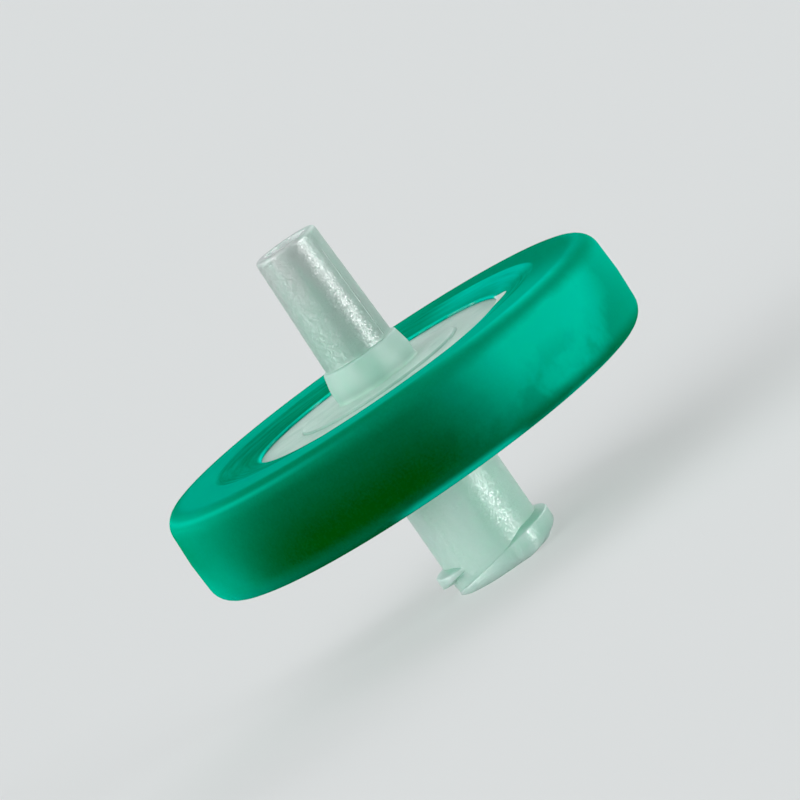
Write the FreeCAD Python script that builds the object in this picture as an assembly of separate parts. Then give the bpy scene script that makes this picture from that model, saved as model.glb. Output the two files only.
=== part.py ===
# Syringe filter: a 25 mm disc membrane clamped between two polypropylene housing halves, which a coloured ring is
# moulded around. The axis is Z. The origin is the centre of the female luer's end face, and +Z points to the male
# luer, so the filter stands on its inlet end. Front is -Y. All sizes are millimetres.
import FreeCAD, Part
import math
import os

# moulded ring around the housing
ringDiameter = 29.6
ringDraft = 0.08            # radius lost from the parting line to each edge
outletEdgeRadius = 1.1      # rounding of the ring's outer edge on the male luer's side
inletEdgeRadius = 1.2       # rounding of the ring's outer edge on the female luer's side
ringWall = 1.8              # radial thickness outside the housing's flange
lipReach = 4.85             # how far the ring's lips cover the housing's faces
lipDepth = 0.57             # thickness of the lips, and so the depth of the two openings
lipEdge = 0.16              # upright edge of a lip where it meets the housing
flankWidth = 2.55           # radial width of the sloping flank inside each opening
flankRounding = 0.75        # part of the lip's face, outside the flank, that rounds into it

# layers inside the ring, from the female luer's side to the male luer's side
plateThickness = 1.6        # wall of each housing half
inletChamber = 0.83         # room between the inlet half and the membrane
membraneThickness = 0.18
outletChamber = 0.65        # room between the membrane and the outlet half, which its ribs fill

# joint between the two housing halves
skirtThickness = 0.35       # wall of the outlet half that reaches over the inlet half
skirtOverlap = 0.9
skirtClearance = 0.05
membraneClearance = 0.15    # between the membrane's edge and the skirt
clampWidth = 0.85           # how much of the membrane's edge the halves hold

# ribs
supportRibWidth = 0.45      # rings on the outlet half that carry the membrane
supportRibPitch = 1.25
drainWidth = 0.8            # radial channels through those rings
drainCount = 8
spreaderRibWidth = 0.6      # spokes on the inlet half
spreaderRibCount = 8
spreaderClearance = 0.4     # from a spoke's top to the membrane

# female luer hub, at the inlet
hubDiameter = 6.31
hubLength = 7.35            # from the end face to the ring
hubEndTaper = 0.09          # radius lost over the hub's last stretch
hubEndLength = 0.75
hubFillet = 0.35            # between the hub and the inlet half's face
socketMouth = 4.30
socketDepth = 7.8
mouthChamfer = 0.15
luerTaper = 0.06            # luer cones lose 6 % of their length in diameter
channelDiameter = 1.6       # from each luer bore into its chamber

# locking lugs on the hub, two of them, half a turn apart
lugReach = 0.645            # how far a lug stands out of the hub
lugTop = 1.52               # height of a lug's upper edge at its middle
lugRise = 0.0016            # climb of that edge for each degree around
lugPitch = 0.0115           # climb of a lug's lower edge for each degree around
lugBottom = 0.77            # height of that lower edge at its middle
lugFlank = 0.30             # how much higher the lug's upper face is at its root
lugStart = 6.0              # angles from the front, towards +X, where the lug's full form starts and ends
lugMiddle = 90.0
lugEnd = 138.0
lugFade = 30.0              # angle over which a lug grows out of the hub
runOutStart = -82.0         # a low helical land leads from here up to the lug
runOutTop = 0.15            # height of the land's upper edge there
runOutReach = 0.05          # how far the land stands out of the hub
lugStep = 7.0               # angle between the sections that a lug is built from

# male luer, at the outlet
tipDiameter = 4.02
tipLength = 7.5             # from the collar to the tip
tipRounding = 0.24
boreMouth = 2.70
boreDraft = 0.017           # radius lost for each millimetre of depth
boreFloor = 1.3             # wall between the end of the bore and the outlet half's inner face
collarShoulder = 0.21       # step from the luer cone out to the collar
collarBulge = 0.25          # further growth of the collar's radius towards its foot
collarHeight = 1.95
collarWaist = 1.14          # height below the shoulder at which the collar is widest
collarFillet = 0.12
bossDiameter = 10.56        # low round step that the collar stands on
bossHeight = 0.15
bossRounding = 0.1

# places that follow from the sizes above
ringRadius = ringDiameter / 2
flangeRadius = ringRadius - ringWall
openingRadius = flangeRadius - lipReach
ringBottom = hubLength
inletFace = ringBottom + lipDepth
inletFloor = inletFace + plateThickness
membraneBottom = inletFloor + inletChamber
membraneTop = membraneBottom + membraneThickness
outletFloor = membraneTop + outletChamber
outletFace = outletFloor + plateThickness
ringTop = outletFace + lipDepth
bossTop = outletFace + bossHeight
collarTop = bossTop + collarHeight
tipEnd = collarTop + tipLength
spigotRadius = flangeRadius - skirtThickness - skirtClearance
membraneRadius = flangeRadius - skirtThickness - membraneClearance
chamberRadius = membraneRadius - clampWidth
skirtEnd = membraneBottom - skirtOverlap
hubRadius = hubDiameter / 2
lugRadius = hubRadius + lugReach


class Outline:
    """A closed half section in the XZ plane, drawn point by point with lines and arcs."""

    def __init__(self, radius, height):
        self.start = self.here = FreeCAD.Vector(radius, 0, height)
        self.edges = []

    def line(self, radius, height):
        target = FreeCAD.Vector(radius, 0, height)
        self.edges.append(Part.LineSegment(self.here, target).toShape())
        self.here = target
        return self

    def arc(self, midRadius, midHeight, radius, height):
        middle = FreeCAD.Vector(midRadius, 0, midHeight)
        target = FreeCAD.Vector(radius, 0, height)
        self.edges.append(Part.Arc(self.here, middle, target).toShape())
        self.here = target
        return self

    def corner(self, centreRadius, centreHeight, radius, height):
        """Quarter round or flatter: an arc about the given centre to the given end point."""
        centre = FreeCAD.Vector(centreRadius, 0, centreHeight)
        target = FreeCAD.Vector(radius, 0, height)
        reach = (self.here - centre).Length
        middle = (self.here - centre) + (target - centre)
        middle.normalize()
        middle = centre + middle * reach
        return self.arc(middle.x, middle.z, radius, height)

    def revolve(self):
        if (self.here - self.start).Length > 1e-6:
            self.line(self.start.x, self.start.z)
        face = Part.Face(Part.Wire(self.edges))
        solid = face.revolve(FreeCAD.Vector(0, 0, 0), FreeCAD.Vector(0, 0, 1), 360)
        return oneSolid(solid)


def oneSolid(shape):
    """The single solid of a shape, turned right side out, with its split faces joined."""
    solids = shape.Solids
    if len(solids) != 1:
        raise ValueError("expected one solid and found %d" % len(solids))
    solid = solids[0].removeSplitter().Solids[0]
    if solid.Volume < 0:
        solid.reverse()
    return solid


def ringTube(innerRadius, outerRadius, bottom, top):
    outer = Part.makeCylinder(outerRadius, top - bottom, FreeCAD.Vector(0, 0, bottom))
    if innerRadius <= 0:
        return outer
    return outer.cut(Part.makeCylinder(innerRadius, top - bottom, FreeCAD.Vector(0, 0, bottom)))


def spoke(innerRadius, outerRadius, width, bottom, top, angle):
    """A radial bar from one radius to another, turned about the axis."""
    bar = Part.makeBox(outerRadius - innerRadius, width, top - bottom,
                       FreeCAD.Vector(innerRadius, -width / 2, bottom))
    bar.rotate(FreeCAD.Vector(0, 0, 0), FreeCAD.Vector(0, 0, 1), angle)
    return bar


def makeOvermouldRing():
    """The coloured ring: a drafted wall, rounded outer edges, and two lips with sloping flanks."""
    partingHeight = (ringBottom + ringTop) / 2
    edgeRadius = ringRadius - ringDraft
    flankRadius = openingRadius + flankWidth
    outline = Outline(openingRadius, outletFace)
    outline.line(openingRadius, outletFace + lipEdge)
    addFlank(outline, flankRadius, outletFace + lipEdge, ringTop)
    outline.line(edgeRadius - outletEdgeRadius, ringTop)
    outline.corner(edgeRadius - outletEdgeRadius, ringTop - outletEdgeRadius, edgeRadius, ringTop - outletEdgeRadius)
    outline.line(ringRadius, partingHeight)
    outline.line(edgeRadius, ringBottom + inletEdgeRadius)
    outline.corner(edgeRadius - inletEdgeRadius, ringBottom + inletEdgeRadius,
                   edgeRadius - inletEdgeRadius, ringBottom)
    outline.line(flankRadius + flankRounding, ringBottom)
    finishFlank(outline, flankRadius, inletFace - lipEdge, ringBottom)
    outline.line(openingRadius, inletFace)
    outline.line(flangeRadius, inletFace)
    outline.line(flangeRadius, outletFace)
    return outline.revolve()


def flankArc(flankRadius, foot, crest):
    """The rounding between a lip's flat face and its flank: the start of the flank, a middle point, the face."""
    slope = math.atan2(crest - foot, flankWidth + flankRounding / 2)
    drop = math.copysign(1, crest - foot) * (flankRounding * math.tan(abs(slope)) / 2)
    low = (flankRadius, crest - drop)
    high = (flankRadius + flankRounding, crest)
    middle = (flankRadius + flankRounding / 2, crest - drop / 4)
    return low, middle, high


def addFlank(outline, flankRadius, foot, crest):
    """From the lip's inner edge up the flank and round onto the lip's face."""
    low, middle, high = flankArc(flankRadius, foot, crest)
    outline.line(*low)
    outline.arc(*middle, *high)


def finishFlank(outline, flankRadius, foot, crest):
    """The same the other way: off the lip's face, down the flank to the lip's inner edge."""
    low, middle, high = flankArc(flankRadius, foot, crest)
    outline.arc(*middle, *low)
    outline.line(openingRadius, foot)


def lugSection(angle):
    """One radial section through a lug and the land that leads to it."""
    root = hubRadius - (hubDiameter - socketMouth) / 8
    grow = smoothStep((angle - lugStart) / lugFade) * smoothStep((lugEnd - angle) / (lugFade / 2))
    landGrow = smoothStep((angle - runOutStart) / lugFade) * smoothStep((lugEnd - angle) / lugFade)
    crest = hubRadius - 0.02 + (runOutReach + 0.02) * landGrow
    crest += (lugReach - runOutReach) * grow
    bottom = lugBottom + lugPitch * (angle - lugMiddle)
    top = lugTop + lugRise * (angle - lugMiddle)
    if angle < lugStart + lugFade:
        fullTop = lugTop + lugRise * (lugStart + lugFade - lugMiddle)
        share = (angle - runOutStart) / (lugStart + lugFade - runOutStart)
        top = runOutTop + (fullTop - runOutTop) * share
    flank = lugFlank * (crest - root) / (lugRadius - root)
    points = [(root, bottom - flank / 2), (crest, bottom), (crest, top), (root, top + flank)]
    turn = math.radians(angle)
    corners = [FreeCAD.Vector(r * math.sin(turn), -r * math.cos(turn), z) for r, z in points]
    return Part.makePolygon(corners + corners[:1])


def smoothStep(value):
    value = min(max(value, 0.0), 1.0)
    return value * value * (3 - 2 * value)


def makeLug():
    count = int(round((lugEnd - runOutStart) / lugStep))
    angles = [runOutStart + (lugEnd - runOutStart) * k / count for k in range(count + 1)]
    return Part.makeLoft([lugSection(angle) for angle in angles], True, False)


def makeInletHousing():
    """The half with the female luer: hub, lugs, flange, spigot and spreader spokes, as one moulding."""
    socketRadius = socketMouth / 2
    socketEnd = socketRadius - luerTaper / 2 * socketDepth
    channelRadius = channelDiameter / 2
    outline = Outline(channelRadius, socketDepth)
    outline.line(socketEnd, socketDepth)
    outline.line(socketRadius - luerTaper / 2 * mouthChamfer, mouthChamfer)
    outline.line(socketRadius + mouthChamfer, 0)
    outline.line(hubRadius - hubEndTaper, 0)
    outline.line(hubRadius, hubEndLength)
    outline.line(hubRadius, inletFace - hubFillet)
    outline.corner(hubRadius + hubFillet, inletFace - hubFillet, hubRadius + hubFillet, inletFace)
    outline.line(flangeRadius, inletFace)
    outline.line(flangeRadius, skirtEnd)
    outline.line(spigotRadius, skirtEnd)
    outline.line(spigotRadius, membraneBottom)
    outline.line(chamberRadius, membraneBottom)
    outline.line(chamberRadius, inletFloor)
    outline.line(channelRadius, inletFloor)
    housing = outline.revolve()
    for turn in (0, 180):
        lug = makeLug()
        lug.rotate(FreeCAD.Vector(0, 0, 0), FreeCAD.Vector(0, 0, 1), turn)
        housing = housing.fuse(lug)
    below = Part.makeCylinder(2 * lugRadius, lugRadius, FreeCAD.Vector(0, 0, -lugRadius))
    housing = housing.cut(below)
    spokeTop = membraneBottom - spreaderClearance
    for k in range(spreaderRibCount):
        angle = 360 * (k + 0.5) / spreaderRibCount
        rib = spoke(2 * channelDiameter, chamberRadius - spreaderRibWidth, spreaderRibWidth,
                    inletFloor - plateThickness / 4, spokeTop, angle)
        housing = housing.fuse(rib)
    return oneSolid(housing)


def makeOutletHousing():
    """The half with the male luer: cone, collar, boss, flange, skirt and support rings, as one moulding."""
    tipRadius = tipDiameter / 2
    coneFoot = tipRadius + luerTaper / 2 * tipLength
    shoulder = coneFoot + collarShoulder
    waist = shoulder + collarBulge
    foot = waist - collarFillet / 3
    boreRadius = boreMouth / 2
    boreEnd = outletFloor + boreFloor
    boreEndRadius = boreRadius - boreDraft * (tipEnd - boreEnd)
    channelRadius = channelDiameter / 2
    bossRadius = bossDiameter / 2
    roundFoot = tipRadius + luerTaper / 2 * tipRounding
    outline = Outline(channelRadius, outletFloor)
    outline.line(chamberRadius, outletFloor)
    outline.line(chamberRadius, membraneTop)
    outline.line(spigotRadius + skirtClearance, membraneTop)
    outline.line(spigotRadius + skirtClearance, skirtEnd)
    outline.line(flangeRadius, skirtEnd)
    outline.line(flangeRadius, outletFace)
    outline.line(bossRadius, outletFace)
    outline.line(bossRadius, bossTop - bossRounding)
    outline.corner(bossRadius - bossRounding, bossTop - bossRounding, bossRadius - bossRounding, bossTop)
    outline.line(foot + collarFillet, bossTop)
    outline.corner(foot + collarFillet, bossTop + collarFillet, foot, bossTop + collarFillet)
    outline.line(waist, collarTop - collarWaist)
    outline.line(shoulder, collarTop - collarShoulder / 2)
    outline.corner(shoulder - collarShoulder / 2, collarTop - collarShoulder / 2,
                   shoulder - collarShoulder / 2, collarTop)
    outline.line(coneFoot, collarTop)
    outline.line(roundFoot, tipEnd - tipRounding)
    outline.corner(roundFoot - tipRounding, tipEnd - tipRounding, roundFoot - tipRounding, tipEnd)
    outline.line(boreRadius, tipEnd)
    outline.line(boreEndRadius, boreEnd)
    outline.line(channelRadius, boreEnd)
    housing = outline.revolve()
    for ring in makeSupportRings():
        housing = housing.fuse(ring)
    return oneSolid(housing)


def makeSupportRings():
    """Concentric ribs that the membrane lies against, each cut through by the drain channels."""
    rings = []
    inner = channelDiameter
    while inner + supportRibWidth < chamberRadius - supportRibWidth:
        ring = ringTube(inner, inner + supportRibWidth, membraneTop, outletFloor + plateThickness / 4)
        for k in range(drainCount):
            drain = spoke(0, chamberRadius, drainWidth, membraneTop - plateThickness, outletFloor, 360 * k / drainCount)
            ring = ring.cut(drain)
        rings.append(ring)
        inner += supportRibPitch
    return rings


def makeMembrane():
    return ringTube(0, membraneRadius, membraneBottom, membraneTop)


pieces = {
    "overmould_ring": makeOvermouldRing,
    "inlet_housing": makeInletHousing,
    "outlet_housing": makeOutletHousing,
    "filter_membrane": makeMembrane,
}

os.makedirs("parts", exist_ok=True)
for name, make in pieces.items():
    shape = make()
    if not shape.isValid():
        raise ValueError(name + " is not a valid solid")
    shape.exportStep("parts/" + name + ".step")
    print("%-16s %9.2f mm3" % (name, shape.Volume))
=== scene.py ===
import math

import bpy
from mathutils import Matrix, Vector


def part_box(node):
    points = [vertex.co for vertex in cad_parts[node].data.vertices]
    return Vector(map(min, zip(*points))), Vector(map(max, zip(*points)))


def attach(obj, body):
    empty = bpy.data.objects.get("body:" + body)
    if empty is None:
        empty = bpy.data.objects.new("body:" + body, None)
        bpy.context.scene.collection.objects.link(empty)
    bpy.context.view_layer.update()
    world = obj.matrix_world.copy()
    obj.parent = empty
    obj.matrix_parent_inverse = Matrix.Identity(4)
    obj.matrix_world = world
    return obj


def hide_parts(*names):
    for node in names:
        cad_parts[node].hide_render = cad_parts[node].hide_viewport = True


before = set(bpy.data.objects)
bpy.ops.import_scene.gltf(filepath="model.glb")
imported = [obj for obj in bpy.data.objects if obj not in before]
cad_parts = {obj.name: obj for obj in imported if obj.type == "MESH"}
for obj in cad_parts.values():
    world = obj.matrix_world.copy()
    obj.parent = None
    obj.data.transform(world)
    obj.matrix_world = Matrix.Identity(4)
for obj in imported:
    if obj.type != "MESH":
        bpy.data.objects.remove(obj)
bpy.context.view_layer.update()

# Looks of a 25 mm syringe filter. Sizes in the dictionaries are millimetres, and meshes are in metres.
# The axis is Z, the filter stands on its female luer, and -Y is the front. Angles round the axis are in
# degrees, from the front towards +X.
mm = 0.001


class Signal:
    # an output socket of a node; sums and products of signals add Math nodes

    def __init__(self, tree, socket=None):
        self.tree = tree
        self.socket = socket

    def node(self, kind, settings=None, inputs=None, output=0):
        made = self.tree.nodes.new(kind)
        for name, value in (settings or {}).items():
            if name == "stops":
                fillRamp(made.color_ramp, value)
            else:
                setattr(made, name, value)
        for name, value in (inputs or {}).items():
            if isinstance(value, Signal):
                self.tree.links.new(value.socket, made.inputs[name])
            else:
                made.inputs[name].default_value = value
        return Signal(self.tree, made.outputs[output] if made.outputs else None)

    def output(self, name):
        return Signal(self.tree, self.socket.node.outputs[name])

    def math(self, operation, *values):
        return self.node("ShaderNodeMath", {"operation": operation}, dict(enumerate(values)))

    def __add__(self, other):
        return self.math("ADD", self, other)

    def __radd__(self, other):
        return self.math("ADD", other, self)

    def __sub__(self, other):
        return self.math("SUBTRACT", self, other)

    def __rsub__(self, other):
        return self.math("SUBTRACT", other, self)

    def __mul__(self, other):
        return self.math("MULTIPLY", self, other)

    def __rmul__(self, other):
        return self.math("MULTIPLY", other, self)

    def __truediv__(self, other):
        return self.math("DIVIDE", self, other)

    def __pow__(self, power):
        return self.math("POWER", self, power)

    def vector(self, operation, *values):
        return self.node("ShaderNodeVectorMath", {"operation": operation}, dict(enumerate(values)))

    def scaled(self, factor):
        return self.node("ShaderNodeVectorMath", {"operation": "SCALE"}, {0: self, "Scale": factor})

    def noise(self, scale, detail, roughness=0.5):
        # soft noise over this vector
        return self.node("ShaderNodeTexNoise", {}, {
            "Vector": self, "Scale": scale, "Detail": detail, "Roughness": roughness})

    def towards(self, degrees):
        # for an angle round the axis: 1 at the given one, -1 on the far side
        return self.math("COSINE", self - math.radians(degrees))

    def clamped(self):
        return self.node("ShaderNodeClamp", {}, {"Value": self})

    def step(self, low, high):
        # 0 below low, 1 above high, smooth between; low may be the larger one
        limits = {"Value": self, "From Min": min(low, high), "From Max": max(low, high)}
        rising = self.node("ShaderNodeMapRange", {"interpolation_type": "SMOOTHSTEP"}, limits)
        return rising if low < high else 1 - rising

    def near(self, place, reach):
        # 1 at a place, falling to 0 at reach on both sides
        return self.math("ABSOLUTE", self - place).step(reach, 0)

    def blend(self, low, high):
        # from one colour to another as this signal goes from 0 to 1
        # 6 and 7 are the Mix node's colour inputs, and 2 is its colour output
        return self.node("ShaderNodeMix", {"data_type": "RGBA"}, {0: self, 6: low, 7: high}, 2)


def fillRamp(ramp, stops):
    while len(ramp.elements) > 1:
        ramp.elements.remove(ramp.elements[-1])
    for index, (share, tone) in enumerate(stops):
        element = ramp.elements[0] if index == 0 else ramp.elements.new(share)
        element.position = share
        element.color = tone


def newMaterial(name):
    material = bpy.data.materials.new(name)
    material.use_nodes = True
    material.node_tree.nodes.clear()
    return material, Signal(material.node_tree)


def colour(red, green, blue):
    # a colour as it looks on a screen, 0 to 255, as linear light
    def linear(value):
        value = value / 255
        return value / 12.92 if value <= 0.04045 else ((value + 0.055) / 1.055) ** 2.4
    return (linear(red), linear(green), linear(blue), 1.0)


def objectPlace(start):
    # where a surface point is, in millimetres
    return start.node("ShaderNodeTexCoord", output="Object").scaled(1 / mm)


def roundAxis(place):
    # a point's distance from the axis, its height, and its angle round the axis in radians
    parts = place.node("ShaderNodeSeparateXYZ", {}, {0: place})
    x, y = parts.output("X"), parts.output("Y")
    return (x * x + y * y) ** 0.5, parts.output("Z"), place.math("ARCTAN2", x, 0 - y)


def finishSurface(start, constants, links):
    # the Principled shader: constants are set on its sockets, links vary over the surface
    inputs = dict(constants)
    inputs.update(links)
    shader = start.node("ShaderNodeBsdfPrincipled", {"subsurface_method": "RANDOM_WALK"}, inputs)
    start.node("ShaderNodeOutputMaterial", {}, {"Surface": shader})


def boxSize(corners):
    # lowest height, highest height and radius of a box, in millimetres
    lowest, highest = corners
    return lowest.z / mm, highest.z / mm, highest.x / mm


def roundedOutline(corners, margin=0.08, arcStep=12):
    # corners are (radius, height, rounding), where rounding is how far back from the corner its arc starts
    count = len(corners)
    arcs = []
    for index in range(count):
        here = Vector(corners[index][:2])
        before = Vector(corners[index - 1][:2])
        after = Vector(corners[(index + 1) % count][:2])
        arcs.append(roundCorner(before, here, after, corners[index][2], arcStep))
    points = []
    for index in range(count):
        following = (index + 1) % count
        start, end = arcs[index][-1], arcs[following][0]
        points += arcs[index]
        # a straight run has a point close to each rounded end, so that its shading stays even
        if (end - start).length > 3 * margin:
            step = (end - start).normalized() * margin
            points += [start + step] if len(arcs[index]) > 1 else []
            points += [end - step] if len(arcs[following]) > 1 else []
    return points


def roundCorner(before, here, after, rounding, arcStep):
    if rounding <= 0:
        return [here]
    inward = (before - here).normalized()
    outward = (after - here).normalized()
    first = here + inward * rounding
    last = here + outward * rounding
    turn = math.pi - inward.angle(outward)
    radius = rounding / math.tan(turn / 2)
    centre = here + (inward + outward).normalized() * math.hypot(radius, rounding)
    steps = max(2, math.ceil(math.degrees(turn) / arcStep))
    side = math.copysign(1, inward.x * outward.y - inward.y * outward.x)
    arm = first - centre
    arc = [centre + Matrix.Rotation(-side * turn * k / steps, 2) @ arm for k in range(steps)]
    return arc + [last]


def outlineObject(name, corners):
    points = roundedOutline(corners)
    # the lathe's faces point outwards when the outline runs clockwise
    area = sum(a.x * b.y - a.y * b.x for a, b in zip(points, points[1:] + points[:1]))
    if area > 0:
        points.reverse()
    mesh = bpy.data.meshes.new(name)
    edges = [(k, (k + 1) % len(points)) for k in range(len(points))]
    mesh.from_pydata([(p.x * mm, 0, p.y * mm) for p in points], edges, [])
    made = bpy.data.objects.new(name, mesh)
    bpy.context.scene.collection.objects.link(made)
    return made


def newTree(name, sockets):
    tree = bpy.data.node_groups.new(name, "GeometryNodeTree")
    tree.interface.new_socket("Geometry", in_out="INPUT", socket_type="NodeSocketGeometry")
    for label, kind in sockets.items():
        tree.interface.new_socket(label, in_out="INPUT", socket_type=kind)
    tree.interface.new_socket("Geometry", in_out="OUTPUT", socket_type="NodeSocketGeometry")
    return tree


def latheTree():
    # turns a closed outline in the XZ plane round the Z axis, then adds or cuts radial bars; where it adds,
    # the object at Added is joined on as well
    tree = newTree("lathe", {
        "Segments": "NodeSocketInt",
        "Bar Count": "NodeSocketInt",
        "Bar Size": "NodeSocketVector",
        "Bar Middle": "NodeSocketVector",
        "First Angle": "NodeSocketFloat",
        "Cut Bars": "NodeSocketBool",
        "Added": "NodeSocketObject",
        "Sharp Angle": "NodeSocketFloat",
        "Material": "NodeSocketMaterial",
    })
    start = Signal(tree)
    given = start.node("NodeGroupInput")
    outline = given.output("Geometry")
    segments = given.output("Segments")
    size = start.node("GeometryNodeAttributeDomainSize", {"component": "MESH"}, {"Geometry": outline})
    grid = start.node("GeometryNodeMeshGrid", {}, {
        "Size X": segments, "Size Y": size, "Vertices X": segments + 1, "Vertices Y": size + 1})
    place = start.node("GeometryNodeInputPosition")
    parts = start.node("ShaderNodeSeparateXYZ", {}, {0: place})
    turn = (parts.output("X") / segments + 0.5) * (2 * math.pi)
    row = start.math("ROUND", parts.output("Y") + size * 0.5)
    index = start.math("FLOORED_MODULO", row, size)
    sample = start.node("GeometryNodeSampleIndex", {"data_type": "FLOAT_VECTOR"}, {
        "Geometry": outline, "Value": place, "Index": index})
    point = start.node("ShaderNodeSeparateXYZ", {}, {0: sample})
    radius, height = point.output("X"), point.output("Z")
    across, ahead = radius * turn.math("SINE", turn), 0 - radius * turn.math("COSINE", turn)
    target = start.node("ShaderNodeCombineXYZ", {}, {"X": across, "Y": ahead, "Z": height})
    turned = start.node("GeometryNodeSetPosition", {}, {"Geometry": grid, "Position": target})
    closed = start.node("GeometryNodeMergeByDistance", {}, {"Geometry": turned, "Distance": mm / 1000})
    closed = start.node("GeometryNodeFlipFaces", {}, {"Mesh": closed})

    bar = start.node("GeometryNodeMeshCube", {}, {"Size": given.output("Bar Size")})
    bar = start.node("GeometryNodeTransform", {}, {
        "Geometry": bar, "Translation": given.output("Bar Middle")})
    count = given.output("Bar Count")
    spots = start.node("GeometryNodeMeshLine", {}, {"Count": count, "Offset": (0, 0, 0)})
    number = start.node("GeometryNodeInputIndex")
    barTurn = given.output("First Angle") + number * (2 * math.pi) / count
    spin = start.node("ShaderNodeCombineXYZ", {}, {"Z": barTurn})
    bars = start.node("GeometryNodeInstanceOnPoints", {}, {
        "Points": spots, "Instance": bar, "Rotation": spin})
    bars = start.node("GeometryNodeRealizeInstances", {}, {"Geometry": bars})
    added = start.node("GeometryNodeObjectInfo", {}, {"Object": given.output("Added")}, "Geometry")

    union = joinMeshes(start, "UNION", closed, [bars, added])
    cutDone = joinMeshes(start, "DIFFERENCE", closed, [bars])
    shaped = start.node("GeometryNodeSwitch", {"input_type": "GEOMETRY"}, {
        "Switch": given.output("Cut Bars"), "False": union, "True": cutDone})
    smooth = start.node("GeometryNodeSetShadeSmooth", {}, {"Geometry": shaped})
    edge = start.node("GeometryNodeInputMeshEdgeAngle", output="Unsigned Angle")
    crisp = start.node("FunctionNodeCompare", {"data_type": "FLOAT", "operation": "GREATER_THAN"}, {
        0: edge, 1: given.output("Sharp Angle")})
    smooth = start.node("GeometryNodeSetShadeSmooth", {"domain": "EDGE"}, {
        "Geometry": smooth, "Selection": crisp, "Shade Smooth": False})
    whole = start.node("GeometryNodeRealizeInstances", {}, {"Geometry": smooth})
    painted = start.node("GeometryNodeSetMaterial", {}, {
        "Geometry": whole, "Material": given.output("Material")})
    start.node("NodeGroupOutput", {}, {"Geometry": painted})
    return tree


def joinMeshes(start, operation, first, others):
    # a union takes all its meshes on the second socket, which holds several links
    joined = start.node("GeometryNodeMeshBoolean", {"operation": operation, "solver": "MANIFOLD"})
    sockets = joined.socket.node.inputs
    if operation == "DIFFERENCE":
        start.tree.links.new(first.socket, sockets["Mesh 1"])
    else:
        others = [first] + others
    for other in others:
        start.tree.links.new(other.socket, sockets["Mesh 2"])
    return joined


def runTree(made, tree, values):
    # runs a tree on an object and keeps the result as its plain mesh
    modifier = made.modifiers.new("tree", "NODES")
    modifier.node_group = tree
    names = {item.name: item.identifier for item in tree.interface.items_tree if item.in_out == "INPUT"}
    for label, value in values.items():
        modifier[names[label]] = value
    graph = bpy.context.evaluated_depsgraph_get()
    result = bpy.data.meshes.new_from_object(made.evaluated_get(graph), depsgraph=graph)
    made.modifiers.clear()
    made.data = result
    result.name = made.name


lathe = latheTree()
sharpAngle = math.radians(28)     # edges that turn more than this stay crisp

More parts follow.
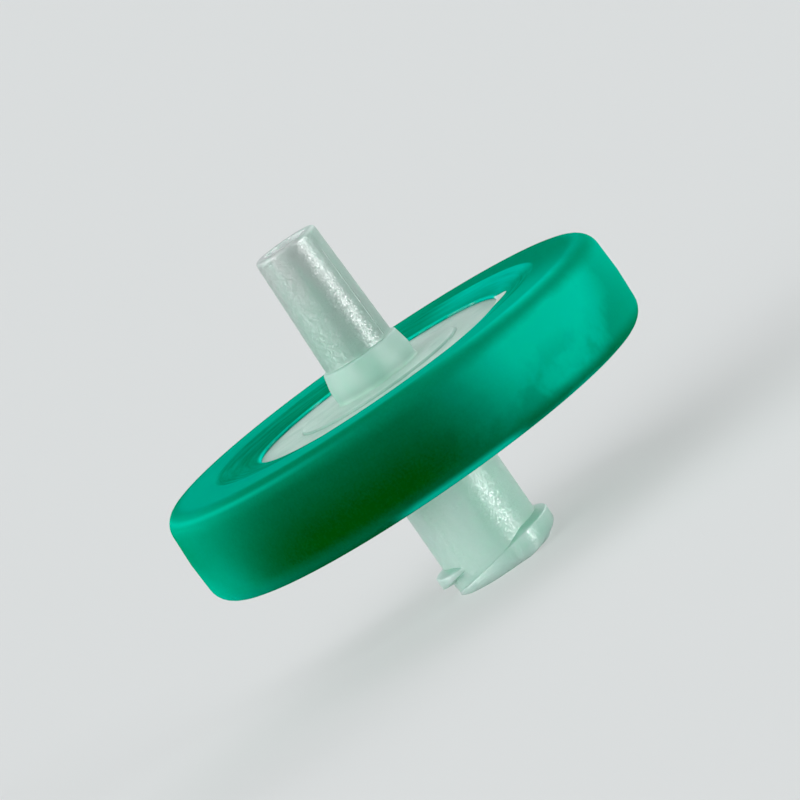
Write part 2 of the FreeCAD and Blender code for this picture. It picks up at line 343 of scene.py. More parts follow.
ring = {
    "lipDepth": 0.57,             # from the ring's faces to the housing's
    "lipReach": 4.85,
    "lipEdge": 0.16,
    "wall": 1.8,
    "draft": 0.08,
    "outletEdgeRadius": 1.1,
    "inletEdgeRadius": 1.2,
    "beltRounding": 0.12,
    "flankWidth": 2.55,
    "flankRounding": 0.75,
    "lipEdgeRounding": 0.05,
    "segments": 288,
    # the deep colour is the ring's thick plastic and its painted shade, the thin colour its thin plastic
    # and painted light
    "deepShadedColour": colour(0, 74, 5),
    "thinLitColour": colour(0, 184, 154),
    # painted glow of light that comes through the thin lip round the opening
    "lipGlowColour": colour(0, 186, 156),
    "lipGlowReach": 0.25,
    "roughness": 0.62,
    "roughnessGrain": 0.1,
    "bodyRadius": (0.1, 0.8, 0.6),
    "refraction": 1.49,
    "mirror": 0.0,
    "grainScale": 7.0,
    "grainDepth": 0.01,
    "grainRelief": 0.5,
    # the paleness, from 0 for the deep colour to 1 for the thin one, follows the plastic's thickness and
    # painted light
    # and shade: deep where shaded, pale where lit; a spread is a pair of cosines, at whose angles a patch
    # starts and is full
    "gates": 3,
    "paleAngle": 42,
    "paleNarrowness": 2.2,
    # painted light and shade on the wall: paler on the lit side, and higher up paler there and deeper
    # elsewhere
    "paleLeast": 0.37,            # in the middle of a pale stretch on the far side
    "paleGain": 0.56,             # so much more on the near side
    "driftScale": 0.09,
    "drift": 0.8,
    "upwardSpan": (1.0, 1.8),     # from the lower face and from the upper one
    "upwardGain": 0.68,           # on the near side
    "upwardLoss": 0.5,            # all round
    "upwardClearing": 0.6,        # of the clouds
    "cloudiness": 0.35,
    "cloudLevels": (0.6, 0.4),
    "cloudScale": 0.33,
    "cloudDetail": 3.5,
    "cloudRoughness": 0.6,
    "cloudShift": (0, 0, 6),
    "plateau": 0.45,
    "plateauAngle": 74,
    "plateauSpread": (0.75, 0.97),
    "faceShare": 0.38,            # of the thickness, where the faces' own paleness starts
    "landSpan": (0.7, 1.7),       # from the wall
    "land": 0.42,
    "landDeeper": 0.28,
    "landSpread": (0.3, 0.9),
    # painted shade on the land and painted light on the flank, on this side
    "deepSide": 120,              # where the land is deeper and the flank paler
    "flank": 0.2,
    "flankPaler": 0.62,
    "flankSpread": (0.8, 0.97),
    "flankStreaks": 0.7,
    "streakScale": (2.6, 2.5),    # outwards and round
    "slopeSpan": (0.35, 0.15),    # outside the flank, from the land's paleness to the flank's
    "roundPlace": 0.5,            # the rounded edges, from the wall and from the face
    "roundReach": 0.9,
    # painted shade and painted highlights on the rounded edges
    "roundDeeper": 0.9,           # on the near side
    "roundPaler": 0.15,           # on the far side
    "roundGain": 0.1,             # all round
    # painted light from above, on the upper part of the ring
    "upperStart": 1.5,
    "upperGain": 0.17,
    "grainGain": 0.1,
    # a painted highlight along the upper edge
    "line": 0.7,
    "linePlace": (0.35, 0.28),
    "lineReach": 0.3,
    "lineSpread": (0.85, 0.5),
    "lineNear": 1.1,
    "lineFar": 0.05,
    # painted light that the lower edge takes up from the hub
    "glow": 1.2,
    "glowPlace": (0.7, 0.1),
    "glowReach": 0.72,
    "glowAngle": 3,
    "glowSpan": (9, 20),          # full to the first angle, none past the second
    # the sliver of bare housing at the opening
    "shortAngle": 80,
    "shortSpan": 9,
    "shortReach": 0.85,
    "shortRagged": 0.25,
    "shortMiddle": 0.55,
    "shortEdge": 0.1,
    "shortDepth": 0.6,
}
ringBottom, ringTop, ringRadius = boxSize(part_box("overmould_ring"))
openingRadius = ringRadius - ring["wall"] - ring["lipReach"]
inletFace = ringBottom + ring["lipDepth"]
outletFace = ringTop - ring["lipDepth"]


def wallPaleness(place, height, around, clouds, litSide):
    # painted light and shade, laid out as dye: deepest at the three gates, one of them in the shaded front,
    # and palest and cloudy where the flows from them meet, much paler on the lit side that the key lamp
    # lights
    drift = (place.noise(ring["driftScale"], 1.0) - 0.5) * ring["drift"]
    turn = (around - math.radians(ring["paleAngle"])) * ring["gates"] + drift
    between = turn.math("COSINE", turn) * 0.5 + 0.5
    lowerStart, upperEnd = ring["upwardSpan"]
    upward = height.step(ringBottom + lowerStart, ringTop - upperEnd)
    cloudy = litSide * ring["cloudiness"] * clouds.step(*ring["cloudLevels"])
    cloudy = cloudy * (1 - upward * ring["upwardClearing"])
    most = ring["paleLeast"] + litSide * ring["paleGain"]
    most = most + upward * (litSide * ring["upwardGain"] - ring["upwardLoss"])
    pale = between ** ring["paleNarrowness"] * (1 - cloudy) * most
    plateau = around.towards(ring["plateauAngle"]).step(*ring["plateauSpread"]) * ring["plateau"]
    return pale.math("MAXIMUM", pale, plateau)


def facePaleness(radius, around):
    # the flat land and the sloping flank inside it are alike all round, but for one side, where painted
    # shade makes the land deeper and painted light makes the flank paler
    outwards, onwards = ring["streakScale"]
    swirl = radius.node("ShaderNodeCombineXYZ", {}, {"X": radius * outwards, "Y": around * onwards})
    streaks = (swirl.noise(1.0, 2.0) - 0.5) * ring["flankStreaks"]
    side = around.towards(ring["deepSide"])
    land = ring["land"] - side.step(*ring["landSpread"]) * ring["landDeeper"]
    flank = ring["flank"] + side.step(*ring["flankSpread"]) * ring["flankPaler"] + streaks
    flat, full = [openingRadius + ring["flankWidth"] + reach for reach in ring["slopeSpan"]]
    sloping = radius.step(flat, full)
    return land * (1 - sloping) + flank * sloping


def edgeLights(radius, height, around, litSide):
    # a painted highlight along the upper edge, and painted light that the lower edge takes up from the hub
    inwards, down = ring["linePlace"]
    line = roundEdge(radius, height, ringRadius - inwards, ringTop - down, ring["lineReach"])
    line = line * litSide.step(*ring["lineSpread"]) * (litSide * ring["lineNear"] + ring["lineFar"])
    full, none = [math.cos(math.radians(angle)) for angle in ring["glowSpan"]]
    inwards, up = ring["glowPlace"]
    glow = around.towards(ring["glowAngle"]).step(none, full)
    glow = glow * roundEdge(radius, height, ringRadius - inwards, ringBottom + up, ring["glowReach"])
    return line * ring["line"] + glow * ring["glow"]


def roundEdge(radius, height, edgeRadius, edgeHeight, reach):
    # 1 on a circle round the axis, falling to 0 at reach from it
    across, up = radius - edgeRadius, height - edgeHeight
    return ((across * across + up * up) ** 0.5).step(reach, 0)


def ringPaleness(place, clouds, grain):
    radius, height, around = roundAxis(place)
    # 1 on the side that the key lamp lights and 0 across from it, for painted light and shade
    litSide = around.towards(ring["paleAngle"]) * 0.5 + 0.5
    rounds = ringRadius - ring["roundPlace"]
    edge = roundEdge(radius, height, rounds, ringTop - ring["roundPlace"], ring["roundReach"])
    edge = edge + roundEdge(radius, height, rounds, ringBottom + ring["roundPlace"], ring["roundReach"])
    wall = wallPaleness(place, height, around, clouds, litSide)
    # painted shade on the rounded edges on the lit side, where the low key lamp misses them, and a painted
    # highlight on the far side
    wall = wall * (1 - edge * litSide * ring["roundDeeper"]) + edge * ring["roundPaler"] * (1 - litSide)
    wall = wall + edgeLights(radius, height, around, litSide)
    middle, thickness = (ringTop + ringBottom) / 2, ringTop - ringBottom
    face = height.math("ABSOLUTE", height - middle).step(thickness * ring["faceShare"], thickness / 2)
    start, full = [ringRadius - reach for reach in ring["landSpan"]]
    flat = face * radius.step(start, full)
    thin = wall * (1 - flat) + facePaleness(radius, around) * flat
    # a painted highlight on the rounded edges all round
    thin = thin + edge * ring["roundGain"]
    # painted light from above: paler towards the upper face
    thin = thin + height.step(ringBottom + ring["upperStart"], ringTop) * ring["upperGain"]
    return (thin + (grain - 0.5) * ring["grainGain"]).clamped()


def bareSliver(place, clouds):
    # 1 where the green moulding ran short of the opening's edge
    radius, height, around = roundAxis(place)
    apart = (around - math.radians(ring["shortAngle"])) / math.radians(ring["shortSpan"])
    shortRun = apart.math("EXPONENT", 0 - apart * apart) * ring["shortReach"]
    shortRun = shortRun + (clouds - ring["shortMiddle"]) * ring["shortRagged"]
    inside = (shortRun + openingRadius - radius).step(0, ring["shortEdge"])
    return inside * height.step((ringTop + ringBottom) / 2, ringTop - ring["shortDepth"])


def ringMaterial():
    material, start = newMaterial("green_polypropylene")
    place = objectPlace(start)
    radius = roundAxis(place)[0]
    grain = place.noise(ring["grainScale"], 2.0)
    clouds = start.vector("ADD", place, ring["cloudShift"])
    clouds = clouds.noise(ring["cloudScale"], ring["cloudDetail"], ring["cloudRoughness"])
    tint = ringPaleness(place, clouds, grain).blend(ring["deepShadedColour"], ring["thinLitColour"])
    # painted glow of light that comes through the thin lip round the opening
    lipGlow = radius.step(openingRadius + ring["lipGlowReach"], openingRadius)
    tint = lipGlow.blend(tint, ring["lipGlowColour"])
    tint = bareSliver(place, clouds).blend(tint, outlet["plateTone"])
    relief = start.node("ShaderNodeBump", {}, {
        "Strength": ring["grainRelief"], "Distance": ring["grainDepth"] * mm, "Height": grain})
    finishSurface(start, {
        "Subsurface Weight": 1.0,
        "Subsurface Radius": ring["bodyRadius"],
        "Subsurface Scale": mm,
        "IOR": ring["refraction"],
        "Specular IOR Level": ring["mirror"],
    }, {
        "Base Color": tint,
        "Roughness": ring["roughness"] + (grain - 0.5) * ring["roughnessGrain"],
        "Normal": relief,
    })
    return material


def makeRing():
    flange = ringRadius - ring["wall"]
    flank = openingRadius + ring["flankWidth"] + ring["flankRounding"] / 2
    middle, half = (ringTop + ringBottom) / 2, (ringTop - ringBottom) / 2
    outletEdge = ringRadius - ring["draft"] * half / (half - ring["outletEdgeRadius"])
    inletEdge = ringRadius - ring["draft"] * half / (half - ring["inletEdgeRadius"])
    corners = [
        (openingRadius, outletFace, 0),
        (openingRadius, outletFace + ring["lipEdge"], ring["lipEdgeRounding"]),
        (flank, ringTop, ring["flankRounding"] / 2),
        (outletEdge, ringTop, ring["outletEdgeRadius"]),
        (ringRadius, middle, ring["beltRounding"]),
        (inletEdge, ringBottom, ring["inletEdgeRadius"]),
        (flank, ringBottom, ring["flankRounding"] / 2),
        (openingRadius, inletFace - ring["lipEdge"], ring["lipEdgeRounding"]),
        (openingRadius, inletFace, 0),
        (flange, inletFace, 0),
        (flange, outletFace, 0),
    ]
    made = outlineObject("moulded_ring", corners)
    runTree(made, lathe, {
        "Segments": ring["segments"],
        "Bar Count": 0,
        "Sharp Angle": sharpAngle,
        "Material": ringMaterial(),
    })
    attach(made, "root")
    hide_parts("overmould_ring")
    print("ring:", len(made.data.polygons), "faces")


natural = {
    "roughness": 0.39,
    "mattRoughness": 0.6,
    "bodyRadius": (1.6, 2.0, 1.8),
    "transmission": 0.25,
    "refraction": 1.7,
    "mirror": 0.95,
    "coat": 0.45,
    "mattCoat": 0.1,
    "coatRoughness": 0.42,
    "coatRefraction": 1.8,
    "streakTone": colour(120, 196, 170),
    "streakScale": 0.45,
    "streakStretch": (1, 1, 0.25),
    "streakLevels": (0.4, 0.65),
    "streaks": 0.35,
    "grainsPerMm": 12,
    "grainLean": 0.2,
    "mattLeanLess": 0.6,
    "mattEdge": 0.1,
    "seamAngle": 51.0,            # mould parting line, and its mate half a turn on
    "seamWidth": 0.07,
    "seamDepth": 0.03,
    "seamStart": 0.2,             # from the collar up
    "seamEnd": (1.2, 1.8),        # from the tip down
}


def naturalMaterial(name, tones, low, high, mattBelow, marksAndShade=None):
    # tones are (share of the way from low to high, colour); marksAndShade adds what only one half has, for
    # the outlet with painted shade among it
    material, start = newMaterial(name)
    place = objectPlace(start)
    radius, height, around = roundAxis(place)
    share = (height - low) / (high - low)
    tint = start.node("ShaderNodeValToRGB", {"stops": tones}, {"Fac": share})
    soft = start.vector("MULTIPLY", place, natural["streakStretch"]).noise(natural["streakScale"], 2.0)
    streaks = soft.step(*natural["streakLevels"]) * natural["streaks"]
    tint = streaks.blend(tint, natural["streakTone"])
    matt = height.step(mattBelow, mattBelow - natural["mattEdge"])
    # each grain of the frosted surface leans its own way
    grains = start.node("ShaderNodeTexVoronoi", {}, {
        "Vector": place, "Scale": natural["grainsPerMm"]}, "Color")
    lean = start.vector("SUBTRACT", grains, (0.5, 0.5, 0.5))
    lean = lean.scaled((1 - matt * natural["mattLeanLess"]) * natural["grainLean"])
    facing = start.node("ShaderNodeNewGeometry", output="Normal")
    facing = start.vector("NORMALIZE", start.vector("ADD", facing, lean))
    tint, raised = marksAndShade(tint, radius, height, around) if marksAndShade else (tint, 0.0)
    relief = start.node("ShaderNodeBump", {}, {
        "Strength": 1.0, "Distance": mm, "Height": raised, "Normal": facing})
    finishSurface(start, {
        "Subsurface Weight": 1.0,
        "Subsurface Radius": natural["bodyRadius"],
        "Subsurface Scale": mm,
        "Transmission Weight": natural["transmission"],
        "IOR": natural["refraction"],
        "Specular IOR Level": natural["mirror"],
        "Coat Roughness": natural["coatRoughness"],
        "Coat IOR": natural["coatRefraction"],
    }, {
        "Base Color": tint,
        "Roughness": natural["roughness"] + matt * (natural["mattRoughness"] - natural["roughness"]),
        "Normal": relief,
        "Coat Weight": natural["coat"] - matt * (natural["coat"] - natural["mattCoat"]),
    })
    return material


outlet = {
    "plate": 1.6,
    "chamberEdge": 1.35,          # from the flange's rim in to the chamber
    "skirt": 0.35,
    "bore": 2.70,
    "boreDraft": 0.017,
    "boreFloor": 1.3,
    "boreRounding": 0.07,
    "boreEndRounding": 0.15,
    "channel": 1.6,
    "channelRounding": 0.05,
    "tip": 4.02,
    "tipLength": 7.5,
    "luerTaper": 0.06,
    "tipRounding": 0.24,
    "coneRounding": 0.05,         # where the cone stands on the collar
    "collarShoulder": 0.21,
    "shoulderRounding": 0.55,     # as a share of the shoulder
    "collarBulge": 0.25,
    "bulgeRounding": 0.3,
    "collarHeight": 1.95,
    "collarWaist": 1.14,
    "collarFillet": 0.12,
    "boss": 10.56,
    "bossHeight": 0.15,
    "bossRounding": 0.1,
    "bossFillet": 0.03,
    "ribWidth": 0.45,
    "ribPitch": 1.25,
    "drainWidth": 0.8,
    "drainCount": 8,
    "drainStart": 0.75,           # as a share of the channel
    "segments": 256,
    # the milky plastic's tones, greener near the ring as painted green light bounced from it, and grey on
    # the tip as painted shade of the dark bore seen through the wall
    "plateTone": colour(192, 234, 216),
    "collarTone": colour(152, 194, 179),
    "coneTone": colour(130, 168, 154),
    "tipTone": colour(154, 162, 159),
    "rimTone": colour(70, 150, 125),
    "edgeTone": colour(110, 190, 166),
    "boreTone": colour(238, 246, 242),
    "toneFade": 0.3,
    "plateEdge": 0.5,
    "plateEdgeWidth": 1.4,
    "mouthEdge": 0.6,
    "mouthEdgeWidth": 0.07,
    "mouthEdgeOut": 0.03,
    "mouthEdgeDepth": (0.5, 0.1),
    "boreEdgeWidth": 0.1,
    # painted shade round the boss's edge
    "bossEdge": 0.7,
    "bossEdgeWidth": 0.12,
}


def outletMaterial(bossTop, collarTop, tipEnd):
    size = outlet
    bore, boss = size["bore"] / 2, size["boss"] / 2

    def share(height):
        return (height - outletFace) / (tipEnd - outletFace)

    def marksAndShade(tint, radius, height, around):
        # parting lines up the cone, green edges on the plate and the bore's mouth, and green painted shade
        # round the boss's edge
        turn = around - math.radians(natural["seamAngle"])
        seam = (turn.math("ABSOLUTE", turn.math("SINE", turn)) * radius).step(natural["seamWidth"], 0)
        none, full = [tipEnd - down for down in natural["seamEnd"]]
        seam = seam * height.step(collarTop, collarTop + natural["seamStart"]) * height.step(none, full)
        plateEdge = radius.step(openingRadius - size["plateEdgeWidth"], openingRadius)
        plateEdge = plateEdge * height.step(bossTop, outletFace) * size["plateEdge"]
        tint = plateEdge.blend(tint, size["edgeTone"])
        inside = radius.step(bore + size["boreEdgeWidth"], bore) * height.step(bossTop, collarTop)
        tint = inside.blend(tint, size["boreTone"])
        none, full = [tipEnd - down for down in size["mouthEdgeDepth"]]
        mouth = radius.near(bore + size["mouthEdgeOut"], size["mouthEdgeWidth"]) * height.step(none, full)
        # painted shade round the boss's rounded edge, where the dark surroundings reflect
        bossEdge = radius.near(boss, size["bossEdgeWidth"])
        bossEdge = bossEdge * height.step(bossTop + size["toneFade"], bossTop)
        rims = (mouth * size["mouthEdge"] + bossEdge * size["bossEdge"]).clamped()
        return rims.blend(tint, size["rimTone"]), seam * natural["seamDepth"]

    # the tones hold painted green light from the ring and painted shade on the tip
    return naturalMaterial("natural_polypropylene_outlet", [
        (0.0, size["plateTone"]),
        (share(bossTop), size["plateTone"]),
        (share(bossTop + size["toneFade"]), size["collarTone"]),
        (share(collarTop), size["collarTone"]),
        (share(collarTop + size["toneFade"]), size["coneTone"]),
        (1.0, size["tipTone"]),
    ], outletFace, tipEnd, collarTop + size["coneRounding"], marksAndShade)


def makeOutlet():
    size = outlet
    skirtEnd, tipEnd, flange = boxSize(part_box("outlet_housing"))
    membraneTop = boxSize(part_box("filter_membrane"))[1]
    floor = outletFace - size["plate"]
    chamber = flange - size["chamberEdge"]
    tip = size["tip"] / 2
    cone = tip + size["luerTaper"] / 2 * size["tipLength"]
    bossTop = outletFace + size["bossHeight"]
    collarTop = bossTop + size["collarHeight"]
    shoulder = cone + size["collarShoulder"]
    waist = shoulder + size["collarBulge"]
    foot = waist - size["collarFillet"] / 3
    bore = size["bore"] / 2
    boreEnd = floor + size["boreFloor"]
    boreEndRadius = bore - size["boreDraft"] * (tipEnd - boreEnd)
    boss = size["boss"] / 2
    corners = [(size["channel"] / 2, floor, 0)]
    # the rib rings that carry the membrane
    inner = size["channel"]
    while inner + size["ribWidth"] < chamber - size["ribWidth"]:
        corners += [(inner, floor, 0), (inner, membraneTop, 0)]
        corners += [(inner + size["ribWidth"], membraneTop, 0), (inner + size["ribWidth"], floor, 0)]
        inner += size["ribPitch"]
    corners += [
        (chamber, floor, 0),
        (chamber, membraneTop, 0),
        (flange - size["skirt"], membraneTop, 0),
        (flange - size["skirt"], skirtEnd, 0),
        (flange, skirtEnd, 0),
        (flange, outletFace, 0),
        (boss, outletFace, size["bossFillet"]),
        (boss, bossTop, size["bossRounding"]),
        (foot, bossTop, size["collarFillet"]),
        (waist, collarTop - size["collarWaist"], size["bulgeRounding"]),
        (shoulder, collarTop, size["collarShoulder"] * size["shoulderRounding"]),
        (cone, collarTop, size["coneRounding"]),
        (tip, tipEnd, size["tipRounding"]),
        (bore, tipEnd, size["boreRounding"]),
        (boreEndRadius, boreEnd, size["boreEndRounding"]),
        (size["channel"] / 2, boreEnd, size["channelRounding"]),
    ]
    made = outlineObject("outlet_half", corners)
    barLength = chamber - size["channel"] * size["drainStart"]
    runTree(made, lathe, {
        "Segments": size["segments"],
        "Bar Count": size["drainCount"],
        "Bar Size": Vector((barLength, size["drainWidth"], size["plate"] + floor - membraneTop)) * mm,
        "Bar Middle": Vector((chamber - barLength / 2, 0, (membraneTop - size["plate"] + floor) / 2)) * mm,
        "First Angle": 0.0,
        "Cut Bars": True,
        "Sharp Angle": sharpAngle,
        "Material": outletMaterial(bossTop, collarTop, tipEnd),
    })
    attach(made, "root")
    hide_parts("outlet_housing")
    print("outlet half:", len(made.data.polygons), "faces")


inlet = {
    "plate": 1.6,
    "spigotGap": 0.40,            # from the flange's rim in to the spigot
    "chamberEdge": 1.35,
    "skirtOverlap": 0.9,
    "hub": 6.31,
    "hubEndTaper": 0.09,
    "hubEndLength": 0.75,
    "hubEndRounding": 0.05,
    "hubTaperRounding": 0.3,
    "hubFillet": 0.35,
    "mouth": 4.30,
    "mouthChamfer": 0.15,
    "mouthRounding": 0.03,
    "chamferRounding": 0.05,
    "socketDepth": 7.8,
    "socketRounding": 0.15,
    "luerTaper": 0.06,
    "channel": 1.6,
    "channelRounding": 0.05,
    "spokeWidth": 0.6,
    "spokeCount": 8,
    "spokeClearance": 0.4,
    "segments": 256,
    # the hub's tones are lifted as painted light against the ring's shadow, and green as painted light
    # bounced from the ring
    "endTone": colour(184, 230, 212),
    "hubTone": colour(200, 244, 226),
}


def inletMaterial():
    return naturalMaterial("natural_polypropylene_inlet", [
        (0.0, inlet["endTone"]),
        (0.5, inlet["hubTone"]),
        (1.0, inlet["hubTone"]),
    ], 0.0, inletFace, 0.0)


lug = {
    "reach": 0.645,
    "top": 1.52,                  # heights in the middle of the lug
    "bottom": 0.77,
    "rise": 0.0016,               # of the top, for each degree
    "pitch": 0.0115,              # of the bottom, for each degree
    "flank": 0.30,
    "start": 6.0,
    "middle": 90.0,
    "end": 138.0,
    "fade": 30.0,
    "runOutStart": -82.0,
    "runOutTop": 0.15,
    "runOutReach": 0.05,
    "rootDepth": 0.25,            # inside the hub's wall
    "sunk": 0.02,                 # into the wall, where there is no lug
    "thinnest": 0.02,
    "lowest": 0.001,
    "step": 3.5,
    "rounding": 0.09,
}


def smoothStep(value):
    value = min(max(value, 0.0), 1.0)
    return value * value * (3 - 2 * value)


def lugSection(angle, hubRadius):
    # one radial section through a lug, and through the low land that leads to it
    fade, fullStart = lug["fade"], lug["start"] + lug["fade"]
    grow = smoothStep((angle - lug["start"]) / fade) * smoothStep((lug["end"] - angle) * 2 / fade)
    land = smoothStep((angle - lug["runOutStart"]) / fade) * smoothStep((lug["end"] - angle) / fade)
    root = hubRadius - lug["rootDepth"]
    crest = hubRadius - lug["sunk"] + (lug["runOutReach"] + lug["sunk"]) * land
    crest += (lug["reach"] - lug["runOutReach"]) * grow
    bottom = max(lug["bottom"] + lug["pitch"] * (angle - lug["middle"]), lug["lowest"])
    top = lug["top"] + lug["rise"] * (max(angle, fullStart) - lug["middle"])
    if angle < fullStart:
        climbed = (angle - lug["runOutStart"]) / (fullStart - lug["runOutStart"])
        top = lug["runOutTop"] + (top - lug["runOutTop"]) * climbed
    top = max(top, bottom + lug["thinnest"])
    flank = lug["flank"] * (crest - root) / (hubRadius + lug["reach"] - root)
    rounding = min(lug["rounding"], (crest - root) / 3, (top - bottom) / 3)
    return sectionPoints([
        (root, bottom, 0),
        (crest, bottom, rounding),
        (crest, top, rounding),
        (root, top + flank, 0),
    ])


def sectionPoints(corners):
    # four steps for each rounding, so that all sections have the same number of points
    points = []
    for index, (radius, height, rounding) in enumerate(corners):
        here = Vector((radius, height))
        before, after = Vector(corners[index - 1][:2]), Vector(corners[(index + 1) % len(corners)][:2])
        turn = math.pi - (before - here).angle(after - here)
        points += roundCorner(before, here, after, rounding, math.degrees(turn) / 4)
    return points


def makeLugs(hubRadius):
    # both lugs as one mesh of two closed shells
    first, sweep = lug["runOutStart"], lug["end"] - lug["runOutStart"]
    count = round(sweep / lug["step"])
    vertices, faces = [], []
    for side in (0, 180):
        base = len(vertices)
        for k in range(count + 1):
            angle = first + sweep * k / count
            turn = math.radians(angle + side)
            across, ahead = math.sin(turn) * mm, -math.cos(turn) * mm
            section = lugSection(angle, hubRadius)
            vertices += [(p.x * across, p.x * ahead, p.y * mm) for p in section]
        size = len(section)
        for k in range(count):
            for j in range(size):
                here, other = base + k * size + j, base + k * size + (j + 1) % size
                faces.append((here, here + size, other + size, other))
        faces.append(tuple(base + j for j in range(size)))
        faces.append(tuple(base + count * size + j for j in reversed(range(size))))
    mesh = bpy.data.meshes.new("lugs")
    mesh.from_pydata(vertices, [], faces)
    made = bpy.data.objects.new("lugs", mesh)
    bpy.context.scene.collection.objects.link(made)
    return made


def makeInlet():
    size = inlet
    membraneBottom, flange = boxSize(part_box("inlet_housing"))[1:]
    floor = inletFace + size["plate"]
    chamber = flange - size["chamberEdge"]
    spigot = flange - size["spigotGap"]
    skirtEnd = membraneBottom - size["skirtOverlap"]
    hub, mouth = size["hub"] / 2, size["mouth"] / 2
    depth, chamfer = size["socketDepth"], size["mouthChamfer"]
    taper = size["luerTaper"] / 2
    corners = [
        (size["channel"] / 2, depth, size["channelRounding"]),
        (mouth - taper * depth, depth, size["socketRounding"]),
        (mouth - taper * chamfer, chamfer, size["chamferRounding"]),
        (mouth + chamfer, 0, size["mouthRounding"]),
        (hub - size["hubEndTaper"], 0, size["hubEndRounding"]),
        (hub, size["hubEndLength"], size["hubTaperRounding"]),
        (hub, inletFace, size["hubFillet"]),
        (flange, inletFace, 0),
        (flange, skirtEnd, 0),
        (spigot, skirtEnd, 0),
        (spigot, membraneBottom, 0),
        (chamber, membraneBottom, 0),
        (chamber, floor, 0),
        (size["channel"] / 2, floor, 0),
    ]
    made = outlineObject("inlet_half", corners)
    lugs = makeLugs(hub)
    inner = 2 * size["channel"]
    outer = chamber - size["spokeWidth"]
    low, high = floor - size["plate"] / 4, membraneBottom - size["spokeClearance"]
    runTree(made, lathe, {
        "Segments": size["segments"],
        "Bar Count": size["spokeCount"],
        "Bar Size": Vector((outer - inner, size["spokeWidth"], high - low)) * mm,
        "Bar Middle": Vector(((outer + inner) / 2, 0, (high + low) / 2)) * mm,
        "First Angle": math.pi / size["spokeCount"],
        "Cut Bars": False,
        "Added": lugs,
        "Sharp Angle": sharpAngle,
        "Material": inletMaterial(),
    })
    bpy.data.objects.remove(lugs)
    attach(made, "root")
    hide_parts("inlet_housing")
    print("inlet half:", len(made.data.polygons), "faces")


membrane = {
    "colour": colour(246, 246, 242),
    "shade": colour(226, 228, 224),
    "roughness": 0.85,
    "mirror": 0.2,
    "poreScale": 22.0,
    "poreLevels": (0.2, 0.9),
    "poreShade": 0.5,
    "poreDepth": 0.01,
    "poreRelief": 0.4,
    "clothScale": 3.0,
    "clothShade": 0.4,
    "clothRoughness": 0.1,
}


def paintMembrane():
    material, start = newMaterial("membrane")
    place = objectPlace(start)
    pores = start.node("ShaderNodeTexVoronoi", {}, {"Vector": place, "Scale": membrane["poreScale"]})
    cloth = place.noise(membrane["clothScale"], 4.0)
    shade = pores.step(*membrane["poreLevels"]) * membrane["poreShade"] + cloth * membrane["clothShade"]
    relief = start.node("ShaderNodeBump", {}, {
        "Strength": membrane["poreRelief"], "Distance": membrane["poreDepth"] * mm, "Height": pores})
    finishSurface(start, {"Specular IOR Level": membrane["mirror"]}, {
        "Base Color": shade.clamped().blend(membrane["colour"], membrane["shade"]),
        "Roughness": membrane["roughness"] + cloth * membrane["clothRoughness"],
        "Normal": relief,
    })
    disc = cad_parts["filter_membrane"]
    disc.data.materials.clear()
    disc.data.materials.append(material)
    print("membrane painted")


studio = {
    "floorColour": colour(250, 252, 252),
    "floorMatt": colour(206, 210, 210),
    "floorReach": 4.0,
    "floorGlow": 0.42,
    "worldColour": (0.94, 0.97, 1.0, 1.0),
    "worldStrength": 0.22,
    "seenStrength": 0.9,          # of the world, where it shows as the backdrop or in a reflection
}

lamps = {
    # angle round the axis, elevation, strength, width in degrees
    "key": (54, 4, 2.12, 16),
    "left": (-52, 8, 2.0, 60),
    "farLeft": (-92, 8, 1.75, 60),
    "top": (-60, 60, 0.8, 90),
    "back": (125, 25, 0.9, 60),
}


def seenRays(start):
    # 1 for the rays that show a surface directly, in a reflection or through clear plastic
    camera = start.node("ShaderNodeLightPath", output="Is Camera Ray")
    mirrored = start.math("MAXIMUM", camera, camera.output("Is Glossy Ray"))
    return start.math("MAXIMUM", mirrored, camera.output("Is Transmission Ray"))


def makeFloor():
    reach = studio["floorReach"]
    mesh = bpy.data.meshes.new("floor")
    corners = [(-reach, -reach, 0), (reach, -reach, 0), (reach, reach, 0), (-reach, reach, 0)]
    mesh.from_pydata(corners, [], [(0, 1, 2, 3)])
    floor = bpy.data.objects.new("floor", mesh)
    bpy.context.scene.collection.objects.link(floor)
    material, start = newMaterial("pale_floor")
    matt = start.node("ShaderNodeBsdfDiffuse", {}, {"Color": studio["floorMatt"]})
    glow = start.node("ShaderNodeEmission", {}, {"Color": studio["floorColour"], "Strength": 1.0})
    seen = seenRays(start)
    mixed = start.node("ShaderNodeMixShader", {}, {0: seen * studio["floorGlow"], 1: matt, 2: glow})
    start.node("ShaderNodeOutputMaterial", {}, {"Surface": mixed})
    mesh.materials.append(material)


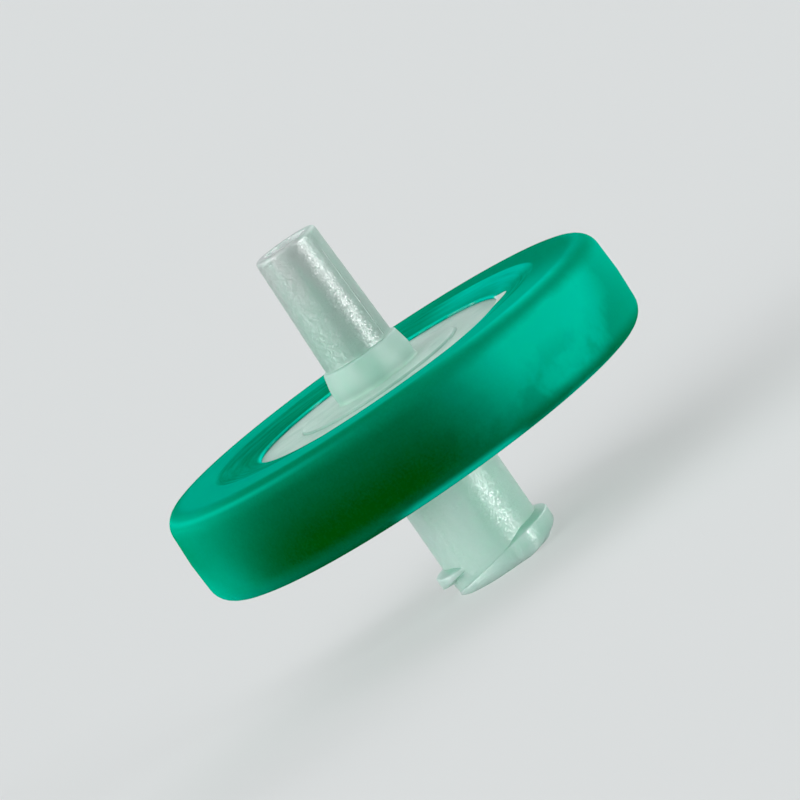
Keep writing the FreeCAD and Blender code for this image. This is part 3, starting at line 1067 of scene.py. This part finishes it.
def addSun(name, azimuth, elevation, strength, width):
    light = bpy.data.lights.new(name, "SUN")
    light.energy = strength
    light.angle = math.radians(width)
    lamp = bpy.data.objects.new(name, light)
    turn, rise = math.radians(azimuth), math.radians(elevation)
    towards = Vector((math.sin(turn) * math.cos(rise), -math.cos(turn) * math.cos(rise), math.sin(rise)))
    lamp.rotation_euler = towards.to_track_quat("Z", "Y").to_euler()
    bpy.context.scene.collection.objects.link(lamp)


def makeWorld():
    world = bpy.data.worlds.new("studio")
    bpy.context.scene.world = world
    world.use_nodes = True
    world.node_tree.nodes.clear()
    start = Signal(world.node_tree)
    level = studio["worldStrength"] + seenRays(start) * (studio["seenStrength"] - studio["worldStrength"])
    back = start.node("ShaderNodeBackground", {}, {"Color": studio["worldColour"], "Strength": level})
    start.node("ShaderNodeOutputWorld", {}, {"Surface": back})


view = {
    "target": (0, 0, 9.986),
    "distance": 376.6,
    "elevation": 7.369,
    "roll": 34.769,
    "lens": 297.0,
    "across": -0.41,              # aim, from the target along the picture's own sides
    "up": 1.21,
}


def makeCamera():
    tilt, roll = math.radians(view["elevation"]), math.radians(view["roll"])
    right = Vector((1, 0, 0))
    up = Vector((0, math.sin(tilt), math.cos(tilt)))
    ahead = Vector((0, math.cos(tilt), -math.sin(tilt)))
    rolledRight = right * math.cos(roll) - up * math.sin(roll)
    rolledUp = right * math.sin(roll) + up * math.cos(roll)
    spot = Vector(view["target"]) - ahead * view["distance"]
    aim = Vector(view["target"]) + rolledRight * view["across"] + rolledUp * view["up"]
    forward = (aim - spot).normalized()
    side = (rolledRight - forward * rolledRight.dot(forward)).normalized()
    top = side.cross(forward)
    lens = bpy.data.cameras.new("camera")
    lens.lens = view["lens"]
    lens.sensor_width = 36
    lens.clip_start = 0.01
    lens.clip_end = 50
    camera = bpy.data.objects.new("camera", lens)
    bpy.context.scene.collection.objects.link(camera)
    turned = Matrix((side, top, -forward)).transposed().to_4x4()
    camera.matrix_world = Matrix.Translation(spot * mm) @ turned
    bpy.context.scene.camera = camera


makeCamera()
makeFloor()
makeWorld()
for name, values in lamps.items():
    addSun(name, *values)
bpy.context.scene.view_settings.view_transform = "Standard"
print("studio: camera, floor, world and", len(lamps), "lamps")

makeRing()
makeOutlet()
makeInlet()
paintMembrane()
